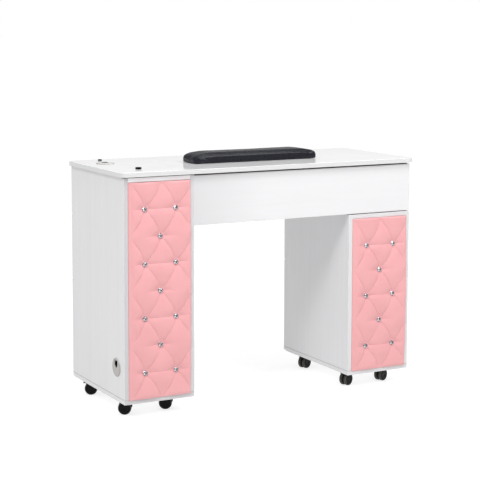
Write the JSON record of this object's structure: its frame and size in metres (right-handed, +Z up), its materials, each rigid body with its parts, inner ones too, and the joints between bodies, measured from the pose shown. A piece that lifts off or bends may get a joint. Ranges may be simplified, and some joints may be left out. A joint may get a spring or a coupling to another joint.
{
  "type": "manicure table",
  "caption": "White manicure table with a tufted pink front on two wheeled pedestals, an apron, drawers, doors, cable grommets and a loose black armrest.",
  "frame": {"origin": "on the floor below the middle of the bounding box", "axes": "+X along the worktop to the client's right, +Y towards the technician's side, +Z up"},
  "size_m": [1.1, 0.472, 0.822],
  "materials": {
    "gloss_white_board": "gloss",
    "white_board": "satin",
    "pink_faux_leather": "satin",
    "crystal": "polished",
    "dowel_wood": "matte",
    "raw_board": "matte",
    "grey_plastic": "satin",
    "zinc_steel": "satin",
    "chrome": "polished",
    "black_nylon": "satin",
    "wheel_plastic": "satin",
    "black_faux_leather": "satin",
    "black_board": "matte"
  },
  "bodies": {
    "table": {"worktop": "gloss_white_board", "worktop_dowels": "dowel_wood", "panel_dowels": "dowel_wood", "pedestal_base_boards": "white_board", "pedestal_top_boards": "white_board", "divider_shelves": "white_board", "left_outer_side": "white_board", "left_inner_side": "white_board", "right_pedestal_sides": "white_board", "right_upper_sides": "white_board", "apron_board": "white_board", "left_backer_board": "raw_board", "right_backer_board": "raw_board", "left_tufted_pad": "pink_faux_leather", "right_tufted_pad": "pink_faux_leather", "crystal_buttons": "crystal", "grommet_sleeves": "grey_plastic", "caster_plates": "zinc_steel", "caster_screws": "zinc_steel", "runner_rails": "zinc_steel", "door_pivot_brackets": "zinc_steel"},
    "armrest": {"armrest_cushion": "black_faux_leather", "armrest_base": "black_board"},
    "top_grommet_cap": {"top_grommet_cap": "grey_plastic"},
    "side_grommet_cap": {"side_grommet_cap": "grey_plastic"},
    "left_top_drawer": {"left_top_drawer_front": "white_board", "left_top_drawer_box": "white_board", "left_top_drawer_knob_and_runners": "chrome"},
    "left_middle_drawer": {"left_middle_drawer_front": "white_board", "left_middle_drawer_box": "white_board", "left_middle_drawer_knob_and_runners": "chrome"},
    "centre_drawer": {"centre_drawer_front": "white_board", "centre_drawer_box": "white_board", "centre_drawer_knob_and_runners": "chrome"},
    "right_top_drawer": {"right_top_drawer_front": "white_board", "right_top_drawer_box": "white_board", "right_top_drawer_knob_and_runners": "chrome"},
    "right_middle_drawer": {"right_middle_drawer_front": "white_board", "right_middle_drawer_box": "white_board", "right_middle_drawer_knob_and_runners": "chrome"},
    "left_door": {"left_door_panel": "white_board", "left_door_knob": "chrome"},
    "right_door": {"right_door_panel": "white_board", "right_door_knob": "chrome"},
    "left_front_outer_caster": {"left_front_outer_caster_hood": "black_nylon"},
    "left_front_outer_wheels": {"left_front_outer_caster_wheels": "wheel_plastic"},
    "left_front_inner_caster": {"left_front_inner_caster_hood": "black_nylon"},
    "left_front_inner_wheels": {"left_front_inner_caster_wheels": "wheel_plastic"},
    "left_rear_outer_caster": {"left_rear_outer_caster_hood": "black_nylon"},
    "left_rear_outer_wheels": {"left_rear_outer_caster_wheels": "wheel_plastic"},
    "left_rear_inner_caster": {"left_rear_inner_caster_hood": "black_nylon"},
    "left_rear_inner_wheels": {"left_rear_inner_caster_wheels": "wheel_plastic"},
    "right_front_inner_caster": {"right_front_inner_caster_hood": "black_nylon"},
    "right_front_inner_wheels": {"right_front_inner_caster_wheels": "wheel_plastic"},
    "right_front_outer_caster": {"right_front_outer_caster_hood": "black_nylon"},
    "right_front_outer_wheels": {"right_front_outer_caster_wheels": "wheel_plastic"},
    "right_rear_inner_caster": {"right_rear_inner_caster_hood": "black_nylon"},
    "right_rear_inner_wheels": {"right_rear_inner_caster_wheels": "wheel_plastic"},
    "right_rear_outer_caster": {"right_rear_outer_caster_hood": "black_nylon"},
    "right_rear_outer_wheels": {"right_rear_outer_caster_wheels": "wheel_plastic"}
  },
  "joints": [
    {"name": "armrest_lift", "type": "slide", "parent": "table", "child": "armrest", "axis": [0, 0, 1], "range_m": [0, 0.1]},
    {"name": "top_grommet_cap_turn", "type": "hinge", "parent": "table", "child": "top_grommet_cap", "pos_m": [-0.473, 0.07, 0.787], "axis": [0, 0, 1], "continuous": true},
    {"name": "side_grommet_cap_turn", "type": "hinge", "parent": "table", "child": "side_grommet_cap", "pos_m": [-0.537, -0.162, 0.16], "axis": [-1, 0, 0], "continuous": true},
    {"name": "left_top_drawer_slide", "type": "slide", "parent": "table", "child": "left_top_drawer", "axis": [0, 1, 0], "range_m": [0, 0.26]},
    {"name": "left_middle_drawer_slide", "type": "slide", "parent": "table", "child": "left_middle_drawer", "axis": [0, 1, 0], "range_m": [0, 0.26]},
    {"name": "centre_drawer_slide", "type": "slide", "parent": "table", "child": "centre_drawer", "axis": [0, 1, 0], "range_m": [0, 0.26]},
    {"name": "right_top_drawer_slide", "type": "slide", "parent": "table", "child": "right_top_drawer", "axis": [0, 1, 0], "range_m": [0, 0.26]},
    {"name": "right_middle_drawer_slide", "type": "slide", "parent": "table", "child": "right_middle_drawer", "axis": [0, 1, 0], "range_m": [0, 0.26]},
    {"name": "left_door_hinge", "type": "hinge", "parent": "table", "child": "left_door", "pos_m": [-0.5315, 0.2065, 0.05], "axis": [0, 0, 1], "range_deg": [0, 110]},
    {"name": "right_door_hinge", "type": "hinge", "parent": "table", "child": "right_door", "pos_m": [0.5315, 0.2065, 0.05], "axis": [0, 0, -1], "range_deg": [0, 110]},
    {"name": "left_front_outer_swivel", "type": "hinge", "parent": "table", "child": "left_front_outer_caster", "pos_m": [-0.4865, -0.154, 0.046], "axis": [0, 0, 1], "continuous": true},
    {"name": "left_front_outer_spin", "type": "hinge", "parent": "left_front_outer_caster", "child": "left_front_outer_wheels", "pos_m": [-0.50239, -0.14555, 0.0215], "axis": [-0.4695, -0.8829, 0], "continuous": true},
    {"name": "left_front_inner_swivel", "type": "hinge", "parent": "table", "child": "left_front_inner_caster", "pos_m": [-0.3425, -0.154, 0.046], "axis": [0, 0, 1], "continuous": true},
    {"name": "left_front_inner_spin", "type": "hinge", "parent": "left_front_inner_caster", "child": "left_front_inner_wheels", "pos_m": [-0.35839, -0.14555, 0.0215], "axis": [-0.4695, -0.8829, 0], "continuous": true},
    {"name": "left_rear_outer_swivel", "type": "hinge", "parent": "table", "child": "left_rear_outer_caster", "pos_m": [-0.4865, 0.126, 0.046], "axis": [0, 0, 1], "continuous": true},
    {"name": "left_rear_outer_spin", "type": "hinge", "parent": "left_rear_outer_caster", "child": "left_rear_outer_wheels", "pos_m": [-0.50239, 0.13445, 0.0215], "axis": [-0.4695, -0.8829, 0], "continuous": true},
    {"name": "left_rear_inner_swivel", "type": "hinge", "parent": "table", "child": "left_rear_inner_caster", "pos_m": [-0.3425, 0.126, 0.046], "axis": [0, 0, 1], "continuous": true},
    {"name": "left_rear_inner_spin", "type": "hinge", "parent": "left_rear_inner_caster", "child": "left_rear_inner_wheels", "pos_m": [-0.35839, 0.13445, 0.0215], "axis": [-0.4695, -0.8829, 0], "continuous": true},
    {"name": "right_front_inner_swivel", "type": "hinge", "parent": "table", "child": "right_front_inner_caster", "pos_m": [0.3425, -0.154, 0.046], "axis": [0, 0, 1], "continuous": true},
    {"name": "right_front_inner_spin", "type": "hinge", "parent": "right_front_inner_caster", "child": "right_front_inner_wheels", "pos_m": [0.32593, -0.16103, 0.0215], "axis": [0.3907, -0.9205, 0], "continuous": true},
    {"name": "right_front_outer_swivel", "type": "hinge", "parent": "table", "child": "right_front_outer_caster", "pos_m": [0.4865, -0.154, 0.046], "axis": [0, 0, 1], "continuous": true},
    {"name": "right_front_outer_spin", "type": "hinge", "parent": "right_front_outer_caster", "child": "right_front_outer_wheels", "pos_m": [0.46993, -0.16103, 0.0215], "axis": [0.3907, -0.9205, 0], "continuous": true},
    {"name": "right_rear_inner_swivel", "type": "hinge", "parent": "table", "child": "right_rear_inner_caster", "pos_m": [0.3425, 0.126, 0.046], "axis": [0, 0, 1], "continuous": true},
    {"name": "right_rear_inner_spin", "type": "hinge", "parent": "right_rear_inner_caster", "child": "right_rear_inner_wheels", "pos_m": [0.32593, 0.11897, 0.0215], "axis": [0.3907, -0.9205, 0], "continuous": true},
    {"name": "right_rear_outer_swivel", "type": "hinge", "parent": "table", "child": "right_rear_outer_caster", "pos_m": [0.4865, 0.126, 0.046], "axis": [0, 0, 1], "continuous": true},
    {"name": "right_rear_outer_spin", "type": "hinge", "parent": "right_rear_outer_caster", "child": "right_rear_outer_wheels", "pos_m": [0.46993, 0.11897, 0.0215], "axis": [0.3907, -0.9205, 0], "continuous": true}
  ]
}
